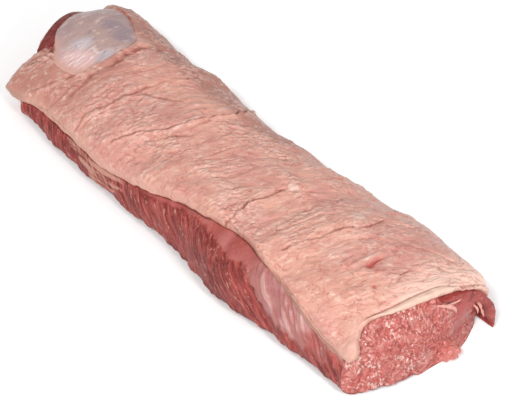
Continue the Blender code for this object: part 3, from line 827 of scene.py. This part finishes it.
def make_cut(name, rim_x, inward, centre, materials):
    """An end slice with the grain of cut muscle on its front: rings shrink to the centre behind a short
    skirt, which lies just proud of the lean and dives into it."""
    turn = np.linspace(0, 2, CUT_COLUMNS, endpoint=False)
    rim_x = around(rim_x, turn)
    back = np.linspace(CUT_DEPTH, 0.8, CUT_SKIRT_ROWS)[:, None]
    x = rim_x + inward * back
    turns = turn + 0 * x
    z = surface(x, turns, 0 * x)[..., 2]
    relief, masks = side_relief(x, turns, z)
    deep = back / CUT_DEPTH
    proud = SKIRT_PROUD - SKIRT_DIVE * deep**2
    side = meat(x, turns, lean_height(x, turns) + relief * np.minimum(1, deep * 3) + proud)
    rim = meat(rim_x, turn, lean_height(rim_x, turn) - RIM_DROP)
    sizes = np.concatenate([[1.0, 0.985], np.linspace(0.965, 0.02, 84)])
    front = closed_end(rim, np.array(centre), 2.0, sizes)
    y, z = front[..., 1], front[..., 2]
    warp_y, warp_z = 3 * noise(y / 9, z / 9, seed=36), 3 * noise(y / 9, z / 9, seed=37)
    bundles = np.abs(noise((y + warp_y) / 5, (z + warp_z) / 9, seed=31))
    crumbs = np.abs(noise((y + warp_y) / 2.6, (z + warp_z) / 4.2, seed=45))
    pits = fractal(y, z, 3.0, 2, seed=32)
    smooth_end = ease((y - 20) / 12) * ease((z - 8) / 14) * (inward < 0)
    shape = 1.4 * bundles + 1.8 * crumbs + 0.8 * pits + 1.8 * noise(y / 19, z / 19, seed=33)
    shape = shape * (1 - 0.75 * smooth_end) * ease((1 - np.asarray(sizes)[:, None]) / 0.04)
    front[..., 0] -= inward * (shape - 1.2)
    grid = np.concatenate([side, front])
    inside = np.array(centre) + (inward * (CUT_DEPTH + 14), 0, 0)
    toward_chine = 0.4 + 0.6 * ease((5 - y) / 45)
    front_masks = {
        # Darker in the hollows between crumbs and bundles: painted shade.
        "valley_shade": (bell(crumbs, 0.12) + bell(bundles, 0.1)) * (1 - 0.6 * smooth_end),
        # Lighter on the raised crumbs: painted highlight.
        "crest": ease((crumbs - 0.2) / 0.5) * (1 - smooth_end),
        # Where the painted glints cluster.
        "wet": (1 - smooth_end) * toward_chine * ease(0.5 + 1.3 * noise(y / 15, z / 15, seed=46)),
        "smooth_end": smooth_end + 0 * y,
    }
    masks.update({key: np.pad(mask, ((CUT_SKIRT_ROWS, 0), (0, 0))) for key, mask in front_masks.items()})
    # The rings run along +X. The far slice's front looks the other way, so its rings are reversed.
    order = -inward
    points, faces = ring_body(grid[::order], *(inside, centre)[::order])
    spread = {}
    for key, mask in masks.items():
        full = np.pad(mask, ((0, len(grid) - len(mask)), (0, 0)))
        spread[key] = np.append(full[::order], [0, 0])
    piece = add_piece(name, points, faces, materials, ["eye_of_loin"], spread)
    quads = (len(grid) - 1) * CUT_COLUMNS
    row = np.arange(quads) // CUT_COLUMNS
    on_front = row < len(front) if inward > 0 else row >= CUT_SKIRT_ROWS
    index = np.zeros(len(piece.data.polygons), np.int32)
    index[:quads] = on_front
    index[quads:] = 1
    piece.data.polygons.foreach_set("material_index", index)
    return piece


# The strap's grid, and how far its wall bulges out.
STRAP_ROWS = 240
STRAP_COLUMNS = 64
STRAP_BULGE = 0.8


def make_flank_strap(material):
    """The thin side muscle: a sheet down the flank side that hangs past the near cut."""
    turn = np.linspace(STRAP_TURNS[0] + 0.01, STRAP_TURNS[1] - 0.01, STRAP_COLUMNS + 1)
    part = np.linspace(0, 1, STRAP_ROWS + 1)[:, None]
    x = STRAP_START + 2 + (around(NEAR_RIM, turn) - STRAP_START - 2) * part
    turns = turn + 0 * x
    depth = strap_depth(x, turns)
    z = surface(x, turns, 0 * x)[..., 2]
    relief, masks = side_relief(x, np.where(turns < 2, turns, 1.99), z)
    inner = surface(x, turns, lumps(x, turns) - depth)
    lifted = lumps(x, turns) + meat_rise(x, turns) * (turns > 2)
    outer = surface(x, turns, lifted + 0.6 * relief * ease(depth / 4))
    for sheet in (inner, outer):
        sheet[-1, :, 0] = np.maximum(sheet[-1, :, 0], STRAP_TIP)
    masks["fresh"] = ease((x - 240) / 30)
    points, faces, masks = slab(outer, inner, STRAP_BULGE + 0 * x, masks)
    return add_piece("flank_strap", points, faces, [material], ["strap_muscle"], masks)


# Places on the silver skin, as (x, turn), where the meat shows through violet and where specks of fat lie.
VIOLET_DABS = ((-220, 0.452), (-201, 0.489), (-227, 0.457), (-206, 0.426), (-192, 0.48))
CREAM_FLECKS = ((-225, 0.554), (-218, 0.557), (-246, 0.559), (-237, 0.493))


# The silver skin's grid, and how far under its top its lower side lies.
SKIN_COLUMNS = 240
SKIN_RINGS = 66
SKIN_DEPTH = 2.4


def make_dome_membrane(material):
    """Silver skin: rings that grow from the middle to the outline above, and shrink back below."""
    bearing = np.linspace(-180, 180, SKIN_COLUMNS, endpoint=False)
    c, s = np.cos(np.radians(bearing)), np.sin(np.radians(bearing))
    reach = curve(SKIN_BEARINGS, SKIN_REACH, bearing) + 1.2 + 0.7 * noise(c * 9, s * 9, seed=43)
    size = np.linspace(0.01, 1, SKIN_RINGS)[:, None]
    x = SKIN_MIDDLE[0] + size * reach * c
    turns = SKIN_MIDDLE[1] + size * reach * s / CAP_ARC
    across = turns * CAP_ARC
    wrinkle = 0.45 * noise(x / 17, across / 17, seed=41) + 0.25 * np.abs(noise(x / 6, across / 13, seed=42))
    wrinkle = wrinkle + 0.1 * noise(x / 3, across / 3, seed=44)
    dip = 0.9 * ease((size - 0.94) / 0.06)
    top = surface(x, turns, dome_top(x, turns) + wrinkle - dip)
    below = surface(x, turns, dome_top(x, turns) - SKIN_DEPTH)
    grid = np.concatenate([top, below[::-1]])
    points, faces = ring_body(grid, top[0].mean(0), below[0].mean(0))
    # Bluish-white patches: painted highlight.
    wet = ellipse_bell(x, turns, (-216, 0.65), (13, 11)) + 0.8 * ellipse_bell(x, turns, (-184, 0.62), (8, 12))
    # Pink-white zone: partly the skin's pink, partly painted sheen.
    pink = ellipse_bell(x, turns, (-205, 0.73), (24, 15)) + 0.8 * ellipse_bell(x, turns, (-192, 0.69), (9, 9))
    violet = sum(ellipse_bell(x, turns, place, (5, 8)) for place in VIOLET_DABS)
    violet = violet + 0.45 * ellipse_bell(x, turns, (-212, 0.45), (26, 24))
    cream = sum(ellipse_bell(x, turns, place, (2.6, 3)) for place in CREAM_FLECKS)
    # Pale streaks in the pink zone: partly painted sheen.
    bright = bell(noise(x / 4.5, across / 15, seed=45), 0.16) * ellipse_bell(x, turns, (-198, 0.7), (30, 20))
    rim = ease((size - 0.72 + 0.05 * noise(x / 5, across / 5, seed=55)) / 0.24) * ease((turns - 0.64) / 0.08)
    torn = ease((size - 0.95) / 0.03) * ease((0.66 - turns) / 0.05)
    torn = torn * ease(0.7 + noise(x / 4, across / 4, seed=50))
    masks = {
        "wet": wet,
        "pink": pink,
        "violet": violet,
        "cream": cream,
        "bright": bright,
        "rim": rim,
        "torn": torn,
    }
    masks = {name: np.append(np.concatenate([mask, mask[::-1]]), [0, 0]) for name, mask in masks.items()}
    return add_piece("dome_membrane", points, faces, [material], ["silver_skin"], masks)


def strand(path, radii, sides=10):
    """Tapered ribbon of tissue: flat rings of each radius, wavering, round the points of a smooth path."""
    path = np.asarray(path, float)
    knots = np.arange(len(path))
    at = np.linspace(0, len(path) - 1, 8 * len(path))
    line = np.stack([curve(knots, path[:, i], at) for i in range(3)], -1)
    waver = 1 + 0.45 * noise(at * 1.7, seed=int(abs(path[0, 1])) + 73)
    radius = (curve(knots, radii, at) * waver)[:, None, None]
    ahead = np.gradient(line, axis=0)
    ahead /= np.linalg.norm(ahead, axis=-1, keepdims=True)
    side = np.cross(ahead, (1.0, 0.0, 0.0))
    side /= np.linalg.norm(side, axis=-1, keepdims=True)
    up = np.cross(side, ahead)
    angle = -np.linspace(0, 2 * np.pi, sides, endpoint=False)[:, None]
    rings = line[:, None] + radius * (np.cos(angle) * side[:, None] + 0.45 * np.sin(angle) * up[:, None])
    return ring_body(rings, line[0], line[-1])


def make_strands(name, paths, material, node):
    """One piece of several threads, each a path of places in millimetres with the thread's radius."""
    points, faces, count = [], [], 0
    for path in paths:
        place = [np.subtract(p[:3], FOOTPRINT_SHIFT) for p in path]
        more, parts = strand(place, [p[3] for p in path])
        points.append(more)
        faces += [part + count for part in parts]
        count += len(more)
    masks = {"cut": np.full(count, 0.75)}
    return add_piece(name, np.concatenate(points), faces, [material], [node], masks)


# White tissue on the near cut, as (x, y, z, radius): the web under the fat and the fringe inside the strap.
NEAR_WEB = (
    ((277, 15, 62, 1.0), (280.5, 20, 61.5, 1.8), (282.5, 26, 59, 2.2), (283, 31, 54, 1.6),
     (283, 33, 50, 1.0), (282, 34, 47, 0.3)),
    ((282, 26, 61, 1.0), (282.5, 33, 60.5, 1.2), (282, 39, 60, 0.8), (280, 44, 59, 0.3)),
)
STRAP_FRINGE = (
    ((278, 61, 44, 0.8), (280, 64, 38, 1.5), (280, 66, 32, 1.0), (279, 69, 25, 1.4), (278, 72, 18, 0.4)),
    ((278, 58, 40, 0.6), (280, 61, 35, 1.1), (280, 62, 29, 0.4)),
)


# The lump of tissue at the foot of the near cut: its middle in the frame, its reach each way, and its grid.
NODULE_PLACE = (283.0, 25.5, 9.0)
NODULE_REACH = (9.0, 10.0, 9.0)
NODULE_COLUMNS = 64
NODULE_RINGS = 40


def make_nodule(material):
    """Lump of tissue: a ball stretched along Y, with lobes of two sizes, flat where it meets the floor."""
    around_it = np.linspace(0, 2 * np.pi, NODULE_COLUMNS, endpoint=False)
    down = np.linspace(0.05, np.pi - 0.05, NODULE_RINGS)[:, None]
    out = np.sin(down)
    ball = np.stack([np.cos(down) + 0 * around_it, out * np.cos(around_it), out * np.sin(around_it)], -1)
    lobes = 1 + 0.28 * noise(*np.moveaxis(ball * 1.8, -1, 0), seed=71)
    lobes = lobes + 0.16 * noise(*np.moveaxis(ball * 5, -1, 0), seed=72)
    grid = ball * lobes[..., None] * NODULE_REACH + np.subtract(NODULE_PLACE, FOOTPRINT_SHIFT)
    grid[..., 2] = np.maximum(grid[..., 2], 0.5)
    points, faces = ring_body(grid[::-1], grid[-1].mean(0), grid[0].mean(0))
    # Painted highlight on the lump through crest, and painted glints on it through wet.
    strengths = {"crest": 0.4, "wet": 0.2, "salmon": 0.9}
    masks = {mask: np.full(len(points), strength) for mask, strength in strengths.items()}
    return add_piece("salmon_nodule", points, faces, [material], ["eye_of_loin"], masks)


def linear(code):
    """sRGB hex colour as linear red, green, blue and alpha."""
    channels = np.array([int(code[i : i + 2], 16) / 255 for i in (1, 3, 5)])
    low = channels / 12.92
    high = ((channels + 0.055) / 1.055) ** 2.4
    return (*np.where(channels <= 0.04045, low, high), 1.0)


# The inputs of a noise texture in the order of the tables' columns; a short row leaves the rest alone.
GRAIN = ("Vector", "Scale", "Detail", "Roughness", "Distortion")

# How deep light soaks into the meat, in millimetres, and how far its red, green and blue go within that.
SOAK = 2.0
SOAK_LEAN = (1.0, 0.3, 0.2)
SOAK_FAT = (1.0, 0.45, 0.3)


def add(tree, kind, inputs=None, output=0, **settings):
    """Adds a node with its settings and gives one output. An input given as a socket is linked, else set."""
    node = tree.nodes.new(kind)
    for name, value in settings.items():
        setattr(node, name, value)
    for name, value in (inputs or {}).items():
        if isinstance(value, bpy.types.NodeSocket):
            tree.links.new(value, node.inputs[name])
        else:
            node.inputs[name].default_value = value
    return node.outputs[output]


def add_each(tree, kind, names, rows, **settings):
    """Adds a node for each row of values, which go to the named inputs in order, and gives the outputs."""
    return [add(tree, kind, dict(zip(names, row)), **settings) for row in rows]


def per(millimetres):
    """Texture scale, in metres, of a pattern that repeats about once in this many millimetres."""
    return 1 / (millimetres * MM)


def new_material(name):
    """A material with one Principled shader: itself, its tree, its shader and the object's coordinates."""
    material = bpy.data.materials.new(name)
    material.use_nodes = True
    tree = material.node_tree
    return material, tree, tree.nodes["Principled BSDF"], add(tree, "ShaderNodeTexCoord", output="Object")


def painted(tree, base, layers):
    """Colours laid over one another, each shown from none to its strength while its mask goes from low to
    high. A mask is a socket or the name of an attribute."""
    colour = linear(base)
    for mask, low, high, strength, code in layers:
        if isinstance(mask, str):
            mask = add(tree, "ShaderNodeAttribute", output="Fac", attribute_name=mask)
        span = {"Value": mask, "From Min": low, "From Max": high, "To Max": strength}
        amount = add(tree, "ShaderNodeMapRange", span, interpolation_type="SMOOTHSTEP")
        colour = add(tree, "ShaderNodeMix", {0: amount, 6: colour, 7: linear(code)}, 2, data_type="RGBA")
    return colour


def finish(tree, shader, colour, reliefs, **values):
    """Joins the colour to the shader, then a normal that carries several fine reliefs, each a height socket
    and its depth in millimetres, and sets the shader's other sockets, named with _ for a space."""
    tree.links.new(colour, shader.inputs["Base Color"])
    normal = {}
    for height, depth in reliefs:
        relief = {"Height": height, "Distance": depth * MM, **normal}
        normal = {"Normal": add(tree, "ShaderNodeBump", relief)}
    tree.links.new(normal["Normal"], shader.inputs["Normal"])
    shader.inputs["Subsurface Scale"].default_value = SOAK * MM
    for name, value in values.items():
        shader.inputs[name.replace("_", " ")].default_value = value


def fat_material():
    """Beef fat, chilled and trimmed by knife: waxy, with fine creases where blood has stained it pink and
    painted shade darkens them.
    """
    material, tree, shader, place = new_material("beef fat")
    tilted = add(tree, "ShaderNodeMapping", {"Vector": place, "Rotation": (0, 0, np.radians(WRINKLE_SLANT))})
    drawn = add(tree, "ShaderNodeMapping", {"Vector": tilted, "Scale": (1.0, 0.55, 1.0)})
    broad, patch, fleck, long_vein, short_vein = add_each(tree, "ShaderNodeTexNoise", GRAIN, (
        (place, per(60), 4.0, 0.6),
        (drawn, per(12), 7.0, 0.7),
        (drawn, per(5), 4.0, 0.7),
        (drawn, per(17), 3.0, 0.5, 0.7),
        (drawn, per(8), 2.0, 0.5, 0.7),
    ))
    # A crease runs where its vein's noise is halfway, so its height is the distance from there.
    veins = ((long_vein, 0.5), (short_vein, 0.5))
    middles = add_each(tree, "ShaderNodeMath", (0, 1), veins, operation="SUBTRACT")
    long_line, short_line = add_each(tree, "ShaderNodeMath", (0,), zip(middles), operation="ABSOLUTE")
    near_line = add(tree, "ShaderNodeMapRange", {"Value": short_line, "From Min": 0.016, "From Max": 0.0})
    rough, wall, aged = (
        add(tree, "ShaderNodeAttribute", output="Fac", attribute_name=name)
        for name in ("rough", "wall", "aged")
    )
    pairs = ((wall, aged), (near_line, rough), (short_line, rough), (long_line, rough))
    aged_wall, stain, crinkle, wrinkle = add_each(tree, "ShaderNodeMath", (0, 1), pairs, operation="MULTIPLY")
    colour = painted(tree, "#d49d8b", (
        (broad, 0.4, 0.6, 1.0, "#cb8f82"),
        (patch, 0.48, 0.6, 0.35, "#c17c70"),
        # Flank: tan tone and painted shade.
        ("flank", 0.0, 1.0, 0.85, "#a87061"),
        # Front: cream tone and painted light.
        ("front", 0.0, 1.0, 0.9, "#f0c7b6"),
        # Pale and dark flecks: mottled tone, partly painted light and shade on small flakes.
        (fleck, 0.46, 0.34, 0.4, "#b66f63"),
        (fleck, 0.54, 0.66, 0.6, "#e0beb0"),
        # Painted highlight on the crests of the crumpled fat.
        ("ridge_highlight", 0.1, 1.0, 0.4, "#e2c0b3"),
        (long_line, 0.014, 0.0, 0.55, "#a75146"),
        (stain, 0.0, 1.0, 0.6, "#ab584e"),
        ("edge", 0.1, 1.0, 0.4, "#ca9b86"),
        # Painted shade on the curled corner.
        ("curl_shade", 0.0, 1.0, 0.6, "#c89a8a"),
        # Fold: painted shade on the folds under the chine edge.
        ("fold", 0.1, 1.0, 0.8, "#986d5d"),
        ("pale", 0.1, 1.0, 0.8, "#e2cbbd"),
        ("red", 0.05, 1.0, 0.85, "#a93b35"),
        # Creases: blood stain and painted shade.
        ("crease_stain_and_shade", 0.1, 1.2, 0.75, "#894134"),
        # Painted shade on the fat's cut walls and underside.
        (wall, 0.1, 0.6, 0.6, "#bd9280"),
        ("cut", 0.2, 1.0, 0.85, "#cbab99"),
        (aged_wall, 0.1, 0.5, 0.8, "#c19a74"),
    ))
    gloss = add(tree, "ShaderNodeMapRange", {
        "Value": patch, "From Min": 0.3, "From Max": 0.7, "To Min": 0.34, "To Max": 0.5})
    tree.links.new(gloss, shader.inputs["Roughness"])
    finish(tree, shader, colour, ((fleck, 1.3), (crinkle, 3.2), (wrinkle, 5.0), (patch, 1.2)),
           Subsurface_Weight=0.05, Subsurface_Radius=SOAK_FAT, Coat_Weight=0.15, Coat_Roughness=0.22)
    return material


def lean_material():
    """Raw lean under its thin sheath: dark red, moist, with fibres that slope down to the near cut."""
    material, tree, shader, place = new_material("raw lean side")
    slope = (0.0, np.radians(-FIBRE_SLOPE), 0.0)
    sloped = add(tree, "ShaderNodeMapping", {"Vector": place, "Rotation": slope})
    drawn = add(tree, "ShaderNodeMapping", {"Vector": sloped, "Scale": (0.1, 0.4, 1.0)})
    loose = add(tree, "ShaderNodeMapping", {"Vector": sloped, "Scale": (0.3, 0.6, 1.0)})
    broad, fibre, fleck, tissue = add_each(tree, "ShaderNodeTexNoise", GRAIN, (
        (place, per(34), 4.0),
        (drawn, per(3.2), 5.0, 0.7),
        (loose, per(2.4), 4.0, 0.7),
        (place, per(12), 6.0, 0.5, 1.2),
    ))
    smooth = add(tree, "ShaderNodeAttribute", output="Fac", attribute_name="strip")
    lively = add(tree, "ShaderNodeMapRange", {"Value": smooth, "To Min": 1.0, "To Max": 0.35})
    threads = add(tree, "ShaderNodeMath", {0: fibre, 1: lively}, operation="MULTIPLY")
    colour = painted(tree, "#822923", (
        (broad, 0.38, 0.6, 1.0, "#953932"),
        (fibre, 0.5, 0.6, 0.75, "#b2544b"),
        (fibre, 0.5, 0.4, 0.75, "#641814"),
        # Pale flecks along the fibres: painted glints.
        (fleck, 0.58, 0.66, 0.7, "#d1998d"),
        ("strip", 0.0, 1.0, 0.75, "#a9564f"),
        # Painted sheen on the smooth strip.
        ("sheen", 0.1, 1.0, 0.6, "#bd7a76"),
        ("fresh", 0.0, 1.0, 0.5, "#95322d"),
        # Painted highlight on the raised strands.
        ("ridge_highlight", 0.1, 0.8, 0.45, "#c66f65"),
        # Groove: painted shade.
        ("groove", 0.1, 1.0, 0.75, "#571310"),
        # Darker towards the underside: painted shade.
        ("low", 0.0, 1.0, 0.8, "#5c1a18"),
        ("deep", 0.0, 1.0, 0.6, "#66201d"),
        ("hung", 0.0, 1.0, 0.8, "#c5917f"),
        ("skin", 0.0, 1.0, 0.85, "#ad726c"),
        ("veil", 0.1, 1.0, 0.4, "#d6b2ae"),
        ("dusk", 0.1, 1.0, 0.5, "#a06062"),
        # Partly whitish tissue, partly painted highlight.
        ("line", 0.1, 0.9, 0.28, "#dcbcb5"),
        ("cut", 0.2, 1.0, 0.9, "#e1a89a"),
    ))
    finish(tree, shader, colour, ((fleck, 0.8), (threads, 2.2), (tissue, 0.8)),
           Roughness=0.5, Specular_IOR_Level=0.3, Subsurface_Weight=0.06, Subsurface_Radius=SOAK_LEAN,
           Coat_Weight=0.15, Coat_Roughness=0.2)
    return material


def cut_material():
    """Fresh knife cut across the muscle: bright wet red, pale flecks of marbling and small wet glints."""
    material, tree, shader, place = new_material("fresh cut lean")
    hanging = add(tree, "ShaderNodeMapping", {"Vector": place, "Scale": (1.0, 1.0, 0.6)})
    broad, fleck, drop = add_each(tree, "ShaderNodeTexNoise", GRAIN, (
        (place, per(22), 4.0),
        (place, per(4.5), 5.0, 0.75),
        (hanging, per(3.0), 3.0, 0.7),
    ))
    # Painted glints: bright specks of the drop noise where the wet mask is high.
    wet = add(tree, "ShaderNodeAttribute", output="Fac", attribute_name="wet")
    glint = add(tree, "ShaderNodeMapRange", {"Value": drop, "From Min": 0.54, "From Max": 0.61})
    wet_glint = add(tree, "ShaderNodeMath", {0: glint, 1: wet}, operation="MULTIPLY")
    colour = painted(tree, "#bf5f57", (
        (broad, 0.4, 0.6, 1.0, "#c57369"),
        # Lighter on the raised crumbs: painted highlight.
        ("crest", 0.2, 1.0, 0.5, "#d7968c"),
        (fleck, 0.52, 0.62, 0.7, "#dca69c"),
        (fleck, 0.46, 0.36, 0.7, "#963a34"),
        # Darker in the hollows: painted shade.
        ("valley_shade", 0.2, 1.0, 0.65, "#8b312d"),
        ("smooth_end", 0.0, 1.0, 0.9, "#a63c36"),
        ("salmon", 0.0, 1.0, 0.7, "#d0766c"),
        # Painted glints.
        (wet_glint, 0.05, 0.8, 0.7, "#ebd0c6"),
    ))
    finish(tree, shader, colour, ((drop, 1.6), (fleck, 2.6)),
           Roughness=0.34, Specular_IOR_Level=0.35, Subsurface_Weight=0.06, Subsurface_Radius=SOAK_LEAN,
           Coat_Weight=0.4, Coat_Roughness=0.1)
    return material


def skin_material():
    """Silver skin: a thin wet membrane over lean, grey with lilac where the meat shows through it."""
    material, tree, shader, place = new_material("silver skin")
    drawn = add(tree, "ShaderNodeMapping", {"Vector": place, "Scale": (1.0, 0.3, 1.0)})
    broad, streak, fine = add_each(tree, "ShaderNodeTexNoise", GRAIN, (
        (place, per(38), 4.0),
        (drawn, per(7), 6.0, 0.65),
        (place, per(4), 5.0, 0.7),
    ))
    colour = painted(tree, "#a68885", (
        (broad, 0.4, 0.6, 1.0, "#b5938b"),
        ("violet", 0.1, 1.1, 0.6, "#826d7c"),
        # Bluish-white patches: painted highlight.
        ("wet", 0.1, 1.0, 0.8, "#c2bbc2"),
        # Partly the skin's pink, partly painted sheen.
        ("pink", 0.1, 1.0, 0.75, "#e0b4b0"),
        (streak, 0.55, 0.66, 0.5, "#d6c2c0"),
        (streak, 0.46, 0.36, 0.55, "#94757d"),
        (fine, 0.6, 0.68, 0.6, "#dcc0b2"),
        (fine, 0.42, 0.32, 0.5, "#846677"),
        # Pale streaks: partly painted sheen.
        ("bright", 0.1, 0.9, 0.7, "#edd7d5"),
        ("cream", 0.2, 1.0, 0.7, "#d8b7a0"),
        ("rim", 0.1, 1.0, 0.95, "#cb998b"),
        ("torn", 0.1, 1.0, 0.8, "#7b4841"),
    ))
    finish(tree, shader, colour, ((fine, 0.7), (streak, 1.2)),
           Roughness=0.34, Subsurface_Weight=0.08, Coat_Weight=0.5, Coat_Roughness=0.15)
    return material


# Half the side of the square floor, in metres.
FLOOR_HALF = 3.0


def make_floor():
    """Plain pale floor: one square."""
    material, _, shader, _ = new_material("pale matt floor")
    shader.inputs["Base Color"].default_value = linear("#ffffff")
    shader.inputs["Roughness"].default_value = 0.9
    corners = [(FLOOR_HALF * i, FLOOR_HALF * j, 0) for i, j in ((-1, -1), (1, -1), (1, 1), (-1, 1))]
    floor = mesh_object("studio_floor", corners, [(0, 1, 2, 3)], [material])


def facing(name, data, azimuth, elevation, distance, aim):
    """Object for a camera or light that stands at a bearing, height and distance from its aim and faces it.
    Azimuth 0 looks along +Y."""
    a, e = np.radians(azimuth), np.radians(elevation)
    back = Vector((np.sin(a) * np.cos(e), -np.cos(a) * np.cos(e), np.sin(e)))
    made = bpy.data.objects.new(name, data)
    made.location = Vector(aim) + back * distance
    made.rotation_euler = (-back).to_track_quat("-Z", "Y").to_euler()
    bpy.context.scene.collection.objects.link(made)
    return made


def add_light(name, kind, azimuth, elevation, energy, spread, distance=0.0, aim=(0.0, 0.0, 0.0)):
    """Soft light from a bearing: a sun spread degrees wide, or a round panel spread metres wide."""
    light = bpy.data.lights.new(name, kind)
    light.energy = energy
    if kind == "SUN":
        light.angle = np.radians(spread)
    else:
        light.shape = "DISK"
        light.size = spread
    facing(name, light, azimuth, elevation, distance, aim)


# The camera stands where the photograph was taken from. Its angles are in degrees, its sensor in
# millimetres, and its distance and aim in metres.
CAMERA_AZIMUTH = 51.6
CAMERA_ELEVATION = 40.0
CAMERA_DISTANCE = 2.304
CAMERA_AIM = (0.0425, 0.008, 0.0288)
CAMERA_SENSOR = 36.0
PICTURE_WIDTH = 516
PIXELS_PER_METRE = 1098.96


def make_camera():
    """Camera with the lens that gives the photograph's scale at its aim."""
    data = bpy.data.cameras.new("camera")
    data.sensor_width = CAMERA_SENSOR
    data.lens = PIXELS_PER_METRE * CAMERA_DISTANCE * CAMERA_SENSOR / PICTURE_WIDTH
    camera = facing("camera", data, CAMERA_AZIMUTH, CAMERA_ELEVATION, CAMERA_DISTANCE, CAMERA_AIM)
    bpy.context.scene.camera = camera


# Strength of the white surroundings, and where the small light aims: the near cut.
SKY = 0.6
CUT_FACE = (0.28, 0.0, 0.03)


def light_scene():
    """Even white surroundings, a key light over the camera and a small low one that makes the cut glint."""
    world = bpy.data.worlds.new("studio")
    world.use_nodes = True
    background = world.node_tree.nodes["Background"].inputs
    background["Color"].default_value = (1, 1, 1, 1)
    background["Strength"].default_value = SKY
    bpy.context.scene.world = world
    add_light("key_light", "SUN", azimuth=30, elevation=48, energy=1.75, spread=12)
    add_light("near_light", "AREA", azimuth=75, elevation=35, energy=8.0, spread=0.25,
              distance=1.2, aim=CUT_FACE)
    bpy.context.scene.view_settings.view_transform = "Standard"


fat = fat_material()
lean = lean_material()
cut = cut_material()
make_fat_layer(fat)
make_fat_fold("edge_roll", EDGE_ROLL, EDGE_ROLL_HEIGHT, fat)
make_lean_muscle(lean)
make_cut("near_cut", NEAR_RIM, -1, NEAR_CENTRE, [lean, cut])
make_cut("far_cut", FAR_RIM, 1, FAR_CENTRE, [lean, cut])
make_flank_strap(lean)
make_dome_membrane(skin_material())
make_strands("near_web", NEAR_WEB, lean, "eye_of_loin")
make_strands("strap_fringe", STRAP_FRINGE, lean, "strap_muscle")
make_nodule(cut)
make_floor()
light_scene()
make_camera()
